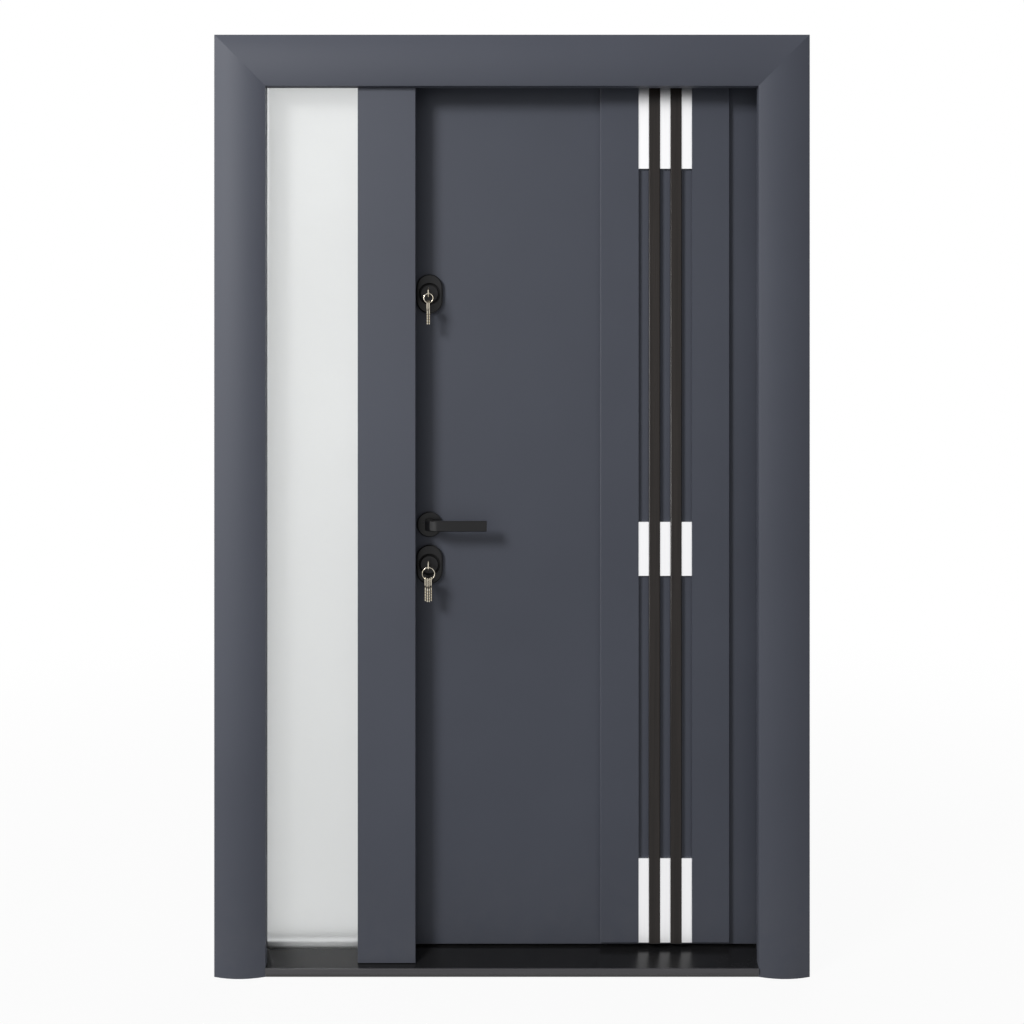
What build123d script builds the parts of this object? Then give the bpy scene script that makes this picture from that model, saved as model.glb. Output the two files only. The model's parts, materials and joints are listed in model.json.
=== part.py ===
"""Steel entrance door set: one hinged leaf beside a fixed frosted sidelight.

Millimetres. X runs to the right seen from outside, Y runs into the building, Z is up.
The origin is on the floor, on the underside of the threshold, at the middle of the set's width.
Y = 0 is the wall's outer face, where the architraves lie against it.
"""

from build123d import *
import os

# Overall size of the set and its rounded architraves
set_width = 1340.0
set_height = 2120.0
architrave_width = 115.0
architrave_edge = 18.0
architrave_crown = 28.0

# Folded steel frame: a stop in front, a rebate behind it, flanges against the wall
frame_depth = 105.0
stop_depth = 40.0
rebate_step = 19.0
jamb_width = 57.0
frame_sheet = 2.0
jamb_setback = 8.0
head_setback = 22.0
anchor_hole_radius = 5.5
anchor_first_height = 250.0
anchor_pitch = 500.0
anchor_count = 4

# Threshold, sloping down to its grey nosing
threshold_height = 36.0
threshold_overhang = 18.0
nosing_depth = 4.0
nosing_height = 13.0
nosing_foot = 7.0
nosing_round = 1.3

# Mullion between the sidelight and the leaf
mullion_middle = -283.5
mullion_cover_width = 131.0
mullion_cover_thickness = 6.0
mullion_cover_chamfer = 1.0
mullion_joint = 0.5
mullion_glass_step = 15.0

# Sidelight
glass_thickness = 12.0
glass_edge_room = 4.0
bead_width = 12.0
bead_depth = 15.0

# Leaf: steel case between two facing panels
leaf_gap = 8.0
leaf_foot_gap = 6.0
seal_gap = 8.0
facing_thickness = 8.0
facing_chamfer = 1.5

# Raised panel with its channel, two slats and the bright inserts
raised_margin = 73.0
raised_width = 298.0
raised_thickness = 12.0
raised_chamfer = 2.0
raised_foot = 8.0
channel_left = 88.0
channel_depth = 9.0
insert_width = 24.0
slat_width = 25.5
slat_proud = 2.0
slat_chamfer = 1.5
insert_thickness = 6.0
insert_top_height = 188.0
insert_middle_height = 124.0
insert_middle_centre = 956.0
insert_bottom_height = 194.0

# Lock edge and the fittings on it
backset = 47.0
lever_height = 1012.0
lock_spacing = 92.0
upper_lock_height = 1543.0
rose_radius = 29.0
rose_thickness = 9.0
rose_chamfer = 2.0
collar_radius = 14.0
collar_length = 14.0
running_clearance = 0.3
rose_hole_sides = 12
lever_reach = 133.0
lever_stand_off = 52.0
lever_bar_height = 24.0
lever_bar_thickness = 11.0
lever_neck_thickness = 18.0
lever_bend = 31.0
lever_inner_bend = 10.0
lever_chamfer = 1.5
escutcheon_width = 60.0
escutcheon_height = 90.0
escutcheon_thickness = 10.0
escutcheon_chamfer = 2.5
guard_radius = 25.0
guard_sides = 36
plug_flange = 3.0
plug_radius = 19.5
plug_proud = 1.0
faceplate_width = 24.0
faceplate_end_margin = 138.5
faceplate_thickness = 3.0
bolt_radius = 8.0
bolt_sides = 16
bolt_pitch = 40.0
bolt_proud = 1.0
latch_height = 30.0

# Keys and their rings
key_thickness = 2.2
key_bow_height = 22.0
key_bow_length = 24.0
key_hole_inset = 7.0
key_shank_length = 12.0
keyway_depth = 8.0
keyway_room = 0.3
key_blade_height = 8.0
key_blade_length = 30.0
key_hole_radius = 4.0
key_hole_sides = 8
key_bow_corner = 6.0
key_notch_radius = 1.4
key_notch_pitch = 6.0
key_first_notch = 4.8
key_notch_count = 4
ring_half_wire = 0.7
ring_sides = 32
upper_ring_radius = 10.5
lower_ring_radius = 14.0
ring_rest_gap = 0.5
spare_key_spread = 4.5
upper_spare_count = 2
lower_spare_count = 4

# Lift-off hinges on the inner side
hinge_radius = 10.0
hinge_half_length = 60.0
hinge_pin_radius = 5.0
hinge_pin_clearance = 0.1
hinge_knuckle_gap = 1.0
hinge_plate_width = 30.0
hinge_plate_thickness = 3.0
hinge_inset = 231.0

# Seal and strike
seal_width = 10.0
seal_thickness = 3.0
strike_hole_room = 1.0

# Places that follow from the sizes above
opening_right = set_width / 2 - architrave_width
opening_top = set_height - architrave_width
stop_right = opening_right + jamb_setback
stop_top = opening_top + head_setback
rebate_right = stop_right + rebate_step
rebate_top = stop_top + rebate_step
frame_right = stop_right + jamb_width
frame_top = stop_top + jamb_width
threshold_lip = nosing_foot + nosing_height
threshold_rise = (threshold_height - threshold_lip) / (threshold_overhang + stop_depth)
cover_bottom = threshold_lip + threshold_rise * threshold_overhang + mullion_joint
cover_left = mullion_middle - mullion_cover_width / 2
cover_right = mullion_middle + mullion_cover_width / 2
post_left = cover_left + jamb_setback
post_right = cover_right - jamb_setback
post_glass_side = post_left + mullion_glass_step
post_leaf_side = post_right - rebate_step
leaf_left = post_leaf_side + leaf_gap
leaf_right = rebate_right - leaf_gap
leaf_width = leaf_right - leaf_left
leaf_middle = (leaf_left + leaf_right) / 2
leaf_bottom = threshold_height + leaf_foot_gap
leaf_top = rebate_top - leaf_gap
leaf_front = stop_depth + seal_gap
leaf_back = frame_depth
raised_front = leaf_front - raised_thickness
raised_bottom = leaf_bottom + raised_foot
raised_top = stop_top - leaf_gap
raised_left = leaf_right - raised_margin - raised_width
channel_start = raised_left + channel_left
channel_width = 3 * insert_width + 2 * slat_width
channel_floor = raised_front + channel_depth
lock_x = leaf_left + backset
lower_lock_height = lever_height - lock_spacing
case_middle = (leaf_front + leaf_back) / 2
faceplate_middle = (upper_lock_height + lower_lock_height) / 2
faceplate_length = upper_lock_height - lower_lock_height + 2 * faceplate_end_margin
bolt_row = (-bolt_pitch, 0, bolt_pitch)
bolt_row_length = 2 * (bolt_pitch + bolt_radius)
bolt_places = [
    (0, lock + step - faceplate_middle)
    for lock in (upper_lock_height, lower_lock_height)
    for step in bolt_row
]
latch_place = lever_height + bolt_pitch - faceplate_middle
faceplate_plane = Plane(
    origin=(leaf_left, case_middle, faceplate_middle), x_dir=(0, -1, 0), z_dir=(-1, 0, 0)
)
strike_plane = Plane(
    origin=(post_leaf_side, case_middle, faceplate_middle), x_dir=(0, 1, 0), z_dir=(1, 0, 0)
)
hinge_heights = {
    "bottom": leaf_bottom + hinge_inset,
    "middle": (leaf_bottom + leaf_top) / 2,
    "top": leaf_top - hinge_inset,
}
hinge_axis_x = (leaf_right + rebate_right) / 2
hinge_axis_y = frame_depth + hinge_radius + hinge_knuckle_gap

os.makedirs("parts", exist_ok=True)


def write(piece, name):
    """Label a finished piece and write it as one STEP file."""
    piece.part.label = name
    export_step(piece.part, f"parts/{name}.step")


def jamb_outline(side):
    """Folded-sheet section of a jamb in plan: side is 1 on the right and -1 on the left."""
    outside = [
        (frame_right, 0),
        (stop_right, 0),
        (stop_right, stop_depth),
        (rebate_right, stop_depth),
        (rebate_right, frame_depth),
        (frame_right, frame_depth),
    ]
    inside = [
        (frame_right, frame_depth - frame_sheet),
        (rebate_right + frame_sheet, frame_depth - frame_sheet),
        (rebate_right + frame_sheet, stop_depth - frame_sheet),
        (stop_right + frame_sheet, stop_depth - frame_sheet),
        (stop_right + frame_sheet, frame_sheet),
        (frame_right, frame_sheet),
    ]
    return [(side * x, y) for x, y in outside + inside]


def mitre(corner_x, corner_z, side):
    """Plane of a 45-degree mitre through an inner top corner; its normal points up and inwards."""
    return Plane(origin=(side * corner_x, 0, corner_z), z_dir=(-side, 0, 1))


# Architraves: a convex section, mitred at the two top corners
for name, side in (("left_architrave", -1), ("right_architrave", 1)):
    with BuildPart() as architrave:
        with BuildSketch(Plane.XY):
            with BuildLine():
                Polyline(
                    (side * opening_right, -architrave_edge),
                    (side * opening_right, 0),
                    (side * set_width / 2, 0),
                    (side * set_width / 2, -architrave_edge),
                )
                ThreePointArc(
                    (side * set_width / 2, -architrave_edge),
                    (side * (opening_right + architrave_width / 2), -architrave_crown),
                    (side * opening_right, -architrave_edge),
                )
            make_face()
        extrude(amount=set_height)
        split(bisect_by=mitre(opening_right, opening_top, side), keep=Keep.BOTTOM)
    write(architrave, name)

with BuildPart() as head_architrave:
    with BuildSketch(Plane.YZ.offset(-set_width / 2)):
        with BuildLine():
            Polyline(
                (-architrave_edge, opening_top),
                (0, opening_top),
                (0, set_height),
                (-architrave_edge, set_height),
            )
            ThreePointArc(
                (-architrave_edge, set_height),
                (-architrave_crown, opening_top + architrave_width / 2),
                (-architrave_edge, opening_top),
            )
        make_face()
    extrude(amount=set_width)
    for side in (-1, 1):
        split(bisect_by=mitre(opening_right, opening_top, side), keep=Keep.TOP)
write(head_architrave, "head_architrave")

# Jambs: folded sheet with anchor holes through the rebate web, mitred to the head
for name, side in (("left_jamb", -1), ("right_jamb", 1)):
    anchor_plane = Plane(
        origin=(side * rebate_right, (stop_depth + frame_depth) / 2, anchor_first_height),
        x_dir=(0, 0, 1),
        z_dir=(side, 0, 0),
    )
    with BuildPart() as jamb:
        with BuildSketch(Plane.XY):
            with BuildLine():
                Polyline(*jamb_outline(side), close=True)
            make_face()
        extrude(amount=frame_top)
        split(bisect_by=mitre(stop_right, stop_top, side), keep=Keep.BOTTOM)
        with BuildSketch(anchor_plane):
            with Locations(*[(index * anchor_pitch, 0) for index in range(anchor_count)]):
                Circle(anchor_hole_radius)
        extrude(amount=frame_sheet, mode=Mode.SUBTRACT)
    write(jamb, name)

with BuildPart() as frame_head:
    with BuildSketch(Plane.YZ.offset(-frame_right)):
        with BuildLine():
            Polyline(
                *[(y, stop_top + x - stop_right) for x, y in jamb_outline(1)],
                close=True,
            )
        make_face()
    extrude(amount=2 * frame_right)
    for side in (-1, 1):
        split(bisect_by=mitre(stop_right, stop_top, side), keep=Keep.TOP)
write(frame_head, "frame_head")

# Threshold: a low slab, sloping outwards, whose ends fit round the jambs' stops
with BuildPart() as threshold:
    with BuildSketch(Plane.XY):
        for half_width, front, back in (
            (opening_right, -threshold_overhang, 0),
            (stop_right, 0, stop_depth),
            (rebate_right, stop_depth, frame_depth),
        ):
            with Locations((0, (front + back) / 2)):
                Rectangle(2 * half_width, back - front)
    extrude(amount=threshold_height)
    with BuildSketch(Plane.YZ):
        with BuildLine():
            Polyline(
                (-threshold_overhang, threshold_lip),
                (stop_depth, threshold_height),
                (-threshold_overhang, threshold_height),
                close=True,
            )
        make_face()
    extrude(amount=set_width / 2, both=True, mode=Mode.SUBTRACT)
write(threshold, "threshold")

with BuildPart() as threshold_nosing:
    with Locations((0, -threshold_overhang - nosing_depth / 2, nosing_foot + nosing_height / 2)):
        Box(2 * opening_right, nosing_depth, nosing_height)
    fillet(threshold_nosing.edges().filter_by(Axis.X).group_by(Axis.Y)[0], nosing_round)
write(threshold_nosing, "threshold_nosing")

# Mullion: a hollow stepped post with a flat cover plate on its face
with BuildPart() as mullion_post:
    with BuildSketch(Plane.XY.offset(threshold_lip)):
        with BuildLine():
            Polyline(
                (post_left, 0),
                (post_right, 0),
                (post_right, stop_depth),
                (post_leaf_side, stop_depth),
                (post_leaf_side, frame_depth),
                (post_glass_side, frame_depth),
                (post_glass_side, stop_depth),
                (post_left, stop_depth),
                close=True,
            )
        make_face()
        offset(amount=-frame_sheet, kind=Kind.INTERSECTION, mode=Mode.SUBTRACT)
    extrude(amount=rebate_top - threshold_lip)
    add(threshold.part, mode=Mode.SUBTRACT)
    with BuildSketch(Plane.XY.offset(stop_top)):
        with Locations((mullion_middle, stop_depth / 2)):
            Rectangle(mullion_cover_width, stop_depth)
    extrude(amount=rebate_step, mode=Mode.SUBTRACT)
    with BuildSketch(strike_plane):
        Rectangle(faceplate_width, faceplate_length)
    extrude(amount=-frame_sheet, mode=Mode.SUBTRACT)
write(mullion_post, "mullion_post")

# Strike plate: flush in the post's web, with a slot for each set of bolts and one for the latch
with BuildPart() as strike_plate:
    with BuildSketch(strike_plane):
        Rectangle(faceplate_width, faceplate_length)
        for place, length in (
            (upper_lock_height - faceplate_middle, bolt_row_length),
            (lower_lock_height - faceplate_middle, bolt_row_length),
            (latch_place, latch_height),
        ):
            with Locations((0, place)):
                Rectangle(
                    2 * (bolt_radius + strike_hole_room),
                    length + 2 * strike_hole_room,
                    mode=Mode.SUBTRACT,
                )
    extrude(amount=-frame_sheet)
write(strike_plate, "strike_plate")

with BuildPart() as mullion_cover:
    cover_height = opening_top - mullion_joint - cover_bottom
    with Locations((mullion_middle, -mullion_cover_thickness / 2, cover_bottom + cover_height / 2)):
        Box(mullion_cover_width, mullion_cover_thickness, cover_height)
    chamfer(mullion_cover.edges().filter_by(Axis.Z).group_by(Axis.Y)[0], mullion_cover_chamfer)
write(mullion_cover, "mullion_cover")

# Sidelight: glass bedded on the stops, held by a bead frame from inside
glass_left = -rebate_right + glass_edge_room
glass_right = post_glass_side - glass_edge_room
glass_bottom = threshold_height
glass_top = rebate_top - glass_edge_room
with BuildPart() as sidelight_glass:
    with BuildSketch(Plane.XZ.offset(-stop_depth)):
        with Locations(((glass_left + glass_right) / 2, (glass_bottom + glass_top) / 2)):
            Rectangle(glass_right - glass_left, glass_top - glass_bottom)
    extrude(amount=-glass_thickness)
write(sidelight_glass, "sidelight_glass")

with BuildPart() as sidelight_bead:
    bead_span = post_glass_side + rebate_right
    bead_height = rebate_top - threshold_height
    with BuildSketch(Plane.XZ.offset(-stop_depth - glass_thickness)):
        with Locations(((post_glass_side - rebate_right) / 2, (threshold_height + rebate_top) / 2)):
            Rectangle(bead_span, bead_height)
            Rectangle(bead_span - 2 * bead_width, bead_height - 2 * bead_width, mode=Mode.SUBTRACT)
    extrude(amount=-bead_depth)
write(sidelight_bead, "sidelight_bead")

# Leaf: a steel case with its lock edge recessed for the faceplate, faced on both sides
with BuildPart() as leaf_case:
    with Locations((leaf_middle, case_middle, (leaf_bottom + leaf_top) / 2)):
        Box(leaf_width, leaf_back - leaf_front - 2 * facing_thickness, leaf_top - leaf_bottom)
    with BuildSketch(faceplate_plane):
        Rectangle(faceplate_width, faceplate_length)
    extrude(amount=-faceplate_thickness, mode=Mode.SUBTRACT)
write(leaf_case, "leaf_case")

for name, front, seen_face in (
    ("outer_facing", leaf_front, 0),
    ("inner_facing", leaf_back - facing_thickness, -1),
):
    with BuildPart() as facing:
        with Locations((leaf_middle, front + facing_thickness / 2, (leaf_bottom + leaf_top) / 2)):
            Box(leaf_width, facing_thickness, leaf_top - leaf_bottom)
        chamfer(facing.faces().sort_by(Axis.Y)[seen_face].edges(), facing_chamfer)
    write(facing, name)

# Lock faceplate: flush in the lock edge, with its withdrawn bolts and latch just proud
with BuildPart() as lock_faceplate:
    with BuildSketch(faceplate_plane):
        Rectangle(faceplate_width, faceplate_length)
    extrude(amount=-faceplate_thickness)
    with BuildSketch(faceplate_plane):
        with Locations(*bolt_places):
            RegularPolygon(bolt_radius, bolt_sides)
        with Locations((0, latch_place)):
            Rectangle(2 * bolt_radius, latch_height)
    extrude(amount=bolt_proud)
write(lock_faceplate, "lock_faceplate")

# Raised panel: one board with a wide channel milled from top to bottom
with BuildPart() as raised_panel:
    raised_height = raised_top - raised_bottom
    with Locations(
        (
            raised_left + raised_width / 2,
            (raised_front + leaf_front) / 2,
            (raised_bottom + raised_top) / 2,
        )
    ):
        Box(raised_width, raised_thickness, raised_height)
    chamfer(raised_panel.faces().sort_by(Axis.Y)[0].edges(), raised_chamfer)
    with BuildSketch(Plane.XY.offset(raised_bottom)):
        with Locations((channel_start + channel_width / 2, raised_front + channel_depth / 2)):
            Rectangle(channel_width, channel_depth)
    extrude(amount=raised_height, mode=Mode.SUBTRACT)
write(raised_panel, "raised_panel")

# Two dark slats stand in the channel and leave three narrow bays
slat_starts = {
    "left": channel_start + insert_width,
    "right": channel_start + 2 * insert_width + slat_width,
}
for place, start in slat_starts.items():
    with BuildPart() as slat:
        slat_front = raised_front - slat_proud
        with Locations(
            (start + slat_width / 2, (slat_front + channel_floor) / 2, (raised_bottom + raised_top) / 2)
        ):
            Box(slat_width, channel_floor - slat_front, raised_top - raised_bottom)
        chamfer(slat.edges().filter_by(Axis.Z).group_by(Axis.Y)[0], slat_chamfer)
    write(slat, f"dark_slat_{place}")

# Bright inserts close the three bays at the top, the middle and the bottom
insert_rows = {
    "top": (raised_top - insert_top_height, insert_top_height),
    "middle": (insert_middle_centre - insert_middle_height / 2, insert_middle_height),
    "bottom": (raised_bottom, insert_bottom_height),
}
for row, (low, height) in insert_rows.items():
    with BuildPart() as inserts:
        bays = [channel_start + insert_width / 2 + bay * (insert_width + slat_width) for bay in range(3)]
        with Locations(*[(x, channel_floor - insert_thickness / 2, low + height / 2) for x in bays]):
            Box(insert_width, insert_thickness, height)
    write(inserts, f"bright_inserts_{row}")

# Frame seal: a black strip on the back of the stops, round three sides of the leaf
with BuildPart() as frame_seal:
    seal_left = post_right - (rebate_step + seal_width) / 2
    seal_right = stop_right + (rebate_step + seal_width) / 2
    seal_top = stop_top + (rebate_step + seal_width) / 2
    with BuildSketch(Plane.XZ.offset(-stop_depth)):
        with Locations(((seal_left + seal_right) / 2, (threshold_height + seal_top) / 2)):
            Rectangle(seal_right - seal_left, seal_top - threshold_height)
        with Locations(((seal_left + seal_right) / 2, (threshold_height + seal_top - seal_width) / 2)):
            Rectangle(
                seal_right - seal_left - 2 * seal_width,
                seal_top - seal_width - threshold_height,
                mode=Mode.SUBTRACT,
            )
    extrude(amount=-seal_thickness)
write(frame_seal, "frame_seal")


# Lift-off hinges: the frame's half carries the pin, the leaf's half drops over it
for place, height in hinge_heights.items():
    with BuildPart() as frame_half:
        with BuildSketch(Plane.XY.offset(height - hinge_half_length)):
            with Locations((hinge_axis_x, hinge_axis_y)):
                Circle(hinge_radius)
            with Locations(
                (hinge_axis_x + hinge_plate_width / 2, frame_depth + hinge_plate_thickness / 2)
            ):
                Rectangle(hinge_plate_width, hinge_plate_thickness)
        extrude(amount=hinge_half_length)
        with BuildSketch(Plane.XY.offset(height)):
            with Locations((hinge_axis_x, hinge_axis_y)):
                Circle(hinge_pin_radius)
        extrude(amount=hinge_half_length)
    write(frame_half, f"hinge_{place}_frame_half")

    with BuildPart() as leaf_half:
        with BuildSketch(Plane.XY.offset(height + hinge_knuckle_gap)):
            with Locations((hinge_axis_x, hinge_axis_y)):
                Circle(hinge_radius)
            with Locations(
                (hinge_axis_x - hinge_plate_width / 2, leaf_back + hinge_plate_thickness / 2)
            ):
                Rectangle(hinge_plate_width, hinge_plate_thickness)
            with Locations((hinge_axis_x, hinge_axis_y)):
                Circle(hinge_pin_radius + hinge_pin_clearance, mode=Mode.SUBTRACT)
        extrude(amount=hinge_half_length)
    write(leaf_half, f"hinge_{place}_leaf_half")


def fitting_plane(face, height):
    """Plane on a face of the leaf at the lock line, with its normal pointing off the leaf."""
    if face == "outside":
        return Plane(origin=(lock_x, leaf_front, height), x_dir=(1, 0, 0), z_dir=(0, -1, 0))
    return Plane(origin=(lock_x, leaf_back, height), x_dir=(1, 0, 0), z_dir=(0, 1, 0))


# Lever handles: a round rose on each face, and a flat lever bent from a turning collar
for face in ("outside", "inside"):
    base = fitting_plane(face, lever_height)
    with BuildPart() as rose:
        with BuildSketch(base):
            Circle(rose_radius)
            RegularPolygon(
                collar_radius + running_clearance,
                rose_hole_sides,
                major_radius=False,
                mode=Mode.SUBTRACT,
            )
        extrude(amount=rose_thickness)
        seen_face = rose.faces().sort_by(lambda f: abs(f.center().Y - case_middle))[-1]
        chamfer(seen_face.outer_wire().edges(), rose_chamfer)
    write(rose, f"rose_{face}")

    plan = Plane(origin=base.origin, x_dir=(1, 0, 0), z_dir=Vector(1, 0, 0).cross(base.z_dir))
    half_neck = lever_neck_thickness / 2
    with BuildPart() as lever:
        with BuildSketch(plan) as bent_bar:
            with BuildLine():
                Polyline(
                    (-half_neck, collar_length),
                    (half_neck, collar_length),
                    (half_neck, lever_stand_off - lever_bar_thickness),
                    (lever_reach, lever_stand_off - lever_bar_thickness),
                    (lever_reach, lever_stand_off),
                    (-half_neck, lever_stand_off),
                    close=True,
                )
            make_face()
            for corner, radius in (
                (Vector(-half_neck, lever_stand_off), lever_bend),
                (Vector(half_neck, lever_stand_off - lever_bar_thickness), lever_inner_bend),
            ):
                fillet(bent_bar.vertices().sort_by_distance(corner)[0], radius)
        extrude(amount=lever_bar_height / 2, both=True)
        for end in (0, -1):
            chamfer(lever.faces().sort_by(Axis.Z)[end].edges(), lever_chamfer)
        with BuildSketch(base.offset(running_clearance)):
            Circle(collar_radius)
        extrude(amount=collar_length + lever_chamfer - running_clearance)
    write(lever, f"lever_{face}")


def key_profile(shank, blade):
    """Flat key seen from the side: the bow's far end at x = 0, the blade towards +x."""
    half_bow = key_bow_height / 2
    Polygon(
        (key_bow_corner, -half_bow),
        (key_bow_length - key_bow_corner, -half_bow),
        (key_bow_length, key_bow_corner - half_bow),
        (key_bow_length, half_bow - key_bow_corner),
        (key_bow_length - key_bow_corner, half_bow),
        (key_bow_corner, half_bow),
        (0, half_bow - key_bow_corner),
        (0, key_bow_corner - half_bow),
        align=None,
    )
    with Locations((key_bow_length + (shank + blade - key_bow_corner) / 2, 0)):
        Rectangle(shank + blade + key_bow_corner, key_blade_height)
    with Locations((key_hole_inset, 0)):
        RegularPolygon(key_hole_radius, key_hole_sides, mode=Mode.SUBTRACT)


# Locks: an oval escutcheon on each face, and outside a turning plug with its key and spare keys
for lock, height, ring_radius, spare_count in (
    ("upper", upper_lock_height, upper_ring_radius, upper_spare_count),
    ("lower", lower_lock_height, lower_ring_radius, lower_spare_count),
):
    for face in ("outside", "inside"):
        with BuildPart() as escutcheon:
            with BuildSketch(fitting_plane(face, height)):
                SlotOverall(escutcheon_height, escutcheon_width, rotation=90)
                if face == "outside":
                    RegularPolygon(guard_radius, guard_sides, major_radius=False, mode=Mode.SUBTRACT)
                else:
                    Rectangle(key_thickness + keyway_room, key_blade_height + keyway_room, mode=Mode.SUBTRACT)
            extrude(amount=escutcheon_thickness)
            seen_face = escutcheon.faces().sort_by(lambda f: abs(f.center().Y - case_middle))[-1]
            if face == "outside":
                chamfer(seen_face.outer_wire().edges(), escutcheon_chamfer)
        write(escutcheon, f"{lock}_escutcheon_{face}")

    base = fitting_plane("outside", height)
    plug_front = escutcheon_thickness + plug_proud
    with BuildPart() as plug:
        with BuildSketch(base.offset(running_clearance)):
            RegularPolygon(guard_radius - running_clearance, guard_sides)
        extrude(amount=plug_flange)
        with BuildSketch(base.offset(running_clearance + plug_flange)):
            Circle(plug_radius)
        extrude(amount=plug_front - running_clearance - plug_flange)
        with BuildSketch(base.offset(plug_front)):
            Rectangle(key_thickness + keyway_room, key_blade_height + keyway_room)
        extrude(amount=-keyway_depth, mode=Mode.SUBTRACT)
    write(plug, f"{lock}_lock_plug")

    key_out = plug_front + key_shank_length + key_bow_length
    with BuildPart() as key:
        with BuildSketch(
            Plane(origin=base.origin + base.z_dir * key_out, x_dir=-base.z_dir, z_dir=(1, 0, 0))
        ):
            key_profile(key_shank_length, keyway_depth - keyway_room)
        extrude(amount=key_thickness / 2, both=True)
    write(key, f"{lock}_key")

    ring_y = leaf_front - key_out + key_hole_inset
    ring_z = height - key_hole_radius + ring_rest_gap + ring_half_wire - ring_radius
    with BuildPart() as ring:
        with BuildSketch(Plane(origin=(lock_x, ring_y, ring_z), x_dir=(1, 0, 0), z_dir=(0, -1, 0))):
            RegularPolygon(ring_radius + ring_half_wire, ring_sides)
            RegularPolygon(ring_radius - ring_half_wire, ring_sides, mode=Mode.SUBTRACT)
        extrude(amount=ring_half_wire, both=True)
    write(ring, f"{lock}_key_ring")

    with BuildPart() as spare_keys:
        for index in range(spare_count):
            step = (index - (spare_count - 1) / 2) * spare_key_spread
            far_side = abs(step) + key_thickness / 2
            wire_top = ring_z - ((ring_radius - ring_half_wire) ** 2 - far_side**2) ** 0.5
            hole_z = wire_top + ring_rest_gap - key_hole_radius
            with BuildSketch(
                Plane(
                    origin=(lock_x + step, ring_y, hole_z + key_hole_inset),
                    x_dir=(0, 0, -1),
                    z_dir=(1, 0, 0),
                )
            ):
                key_profile(0, key_blade_length)
                for side in (-1, 1):
                    tip = key_bow_length + key_blade_length
                    with Locations(
                        *[
                            (tip - key_first_notch - notch * key_notch_pitch, side * key_blade_height / 2)
                            for notch in range(key_notch_count)
                        ]
                    ):
                        RegularPolygon(key_notch_radius, 4, mode=Mode.SUBTRACT)
            extrude(amount=key_thickness / 2, both=True)
    write(spare_keys, f"{lock}_spare_keys")
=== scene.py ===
# %% [markdown]
# # A steel entrance door with a frosted sidelight
# The solid model comes in as a fixed frame: every node keeps its place and its size. This script only
# dresses it. We load the frame first, and read a node's box from its points whenever a fitting needs it.

# %% Load the frame
import json
import math

import bmesh
import bpy
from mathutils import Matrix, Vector


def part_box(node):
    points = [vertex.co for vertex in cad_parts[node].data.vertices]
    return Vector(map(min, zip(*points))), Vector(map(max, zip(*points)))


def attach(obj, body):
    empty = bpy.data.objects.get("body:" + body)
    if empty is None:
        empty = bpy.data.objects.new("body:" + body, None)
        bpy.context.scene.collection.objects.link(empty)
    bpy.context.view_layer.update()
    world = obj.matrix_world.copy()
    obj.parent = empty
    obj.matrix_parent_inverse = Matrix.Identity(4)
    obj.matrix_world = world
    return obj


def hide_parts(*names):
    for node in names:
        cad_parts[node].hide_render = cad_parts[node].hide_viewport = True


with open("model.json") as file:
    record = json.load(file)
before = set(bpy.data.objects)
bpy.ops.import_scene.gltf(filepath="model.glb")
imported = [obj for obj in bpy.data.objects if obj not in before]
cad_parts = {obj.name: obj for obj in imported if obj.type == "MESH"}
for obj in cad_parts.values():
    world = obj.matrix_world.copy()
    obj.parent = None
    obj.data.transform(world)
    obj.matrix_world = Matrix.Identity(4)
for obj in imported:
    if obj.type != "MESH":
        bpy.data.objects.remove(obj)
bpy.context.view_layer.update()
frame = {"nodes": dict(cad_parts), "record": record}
nodes = frame["nodes"]
slot_of = {entry["node"]: entry["material_slot"] for entry in frame["record"]["subparts"]}

# %% [markdown]
# ## Camera
# The picture is taken level and straight on, from about two and a half metres. A level camera keeps the
# jambs upright. To show more of the door below the eye than above it we slide the lens down, which is
# what a view camera does, in place of tilting and making the sides converge.

# %% Camera
face_plane_y = -0.018
camera_distance = 2.5
eye_height = 1.27
picture_width = 2.304
picture_middle_height = 1.046
film_width = 36

camera = bpy.data.objects.new("camera", bpy.data.cameras.new("camera"))
bpy.context.scene.collection.objects.link(camera)
camera.location = (0, face_plane_y - camera_distance, eye_height)
camera.rotation_euler = (math.radians(90), 0, 0)
camera.data.sensor_width = film_width
camera.data.lens = film_width * camera_distance / picture_width
camera.data.shift_y = (picture_middle_height - eye_height) / picture_width
camera.data.clip_end = 100
bpy.context.scene.camera = camera
bpy.context.scene.view_settings.view_transform = "Standard"
print("lens", round(camera.data.lens, 1), "shift", round(camera.data.shift_y, 3))

# %% [markdown]
# ## Studio
# A catalogue picture stands on white with no horizon. More light would give that, but it would bleach the
# paint. So the room is white only for rays that look: from the camera, off a mirror or through a pane.
# Rays that carry light to the door find the room dimmer. Light Path tells the two kinds apart, and the
# floor below needs the same test, so it is a helper.

# %% White room
room_light = 0.29


def looked_at(tree):
    """A value of 1 on rays that see, mirror or look through, and of 0 on rays that only carry light."""
    path = tree.nodes.new("ShaderNodeLightPath")
    looking = path.outputs["Is Camera Ray"]
    for kind in ("Is Glossy Ray", "Is Transmission Ray"):
        either = tree.nodes.new("ShaderNodeMath")
        either.operation = "MAXIMUM"
        tree.links.new(looking, either.inputs[0])
        tree.links.new(path.outputs[kind], either.inputs[1])
        looking = either.outputs[0]
    return looking


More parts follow.
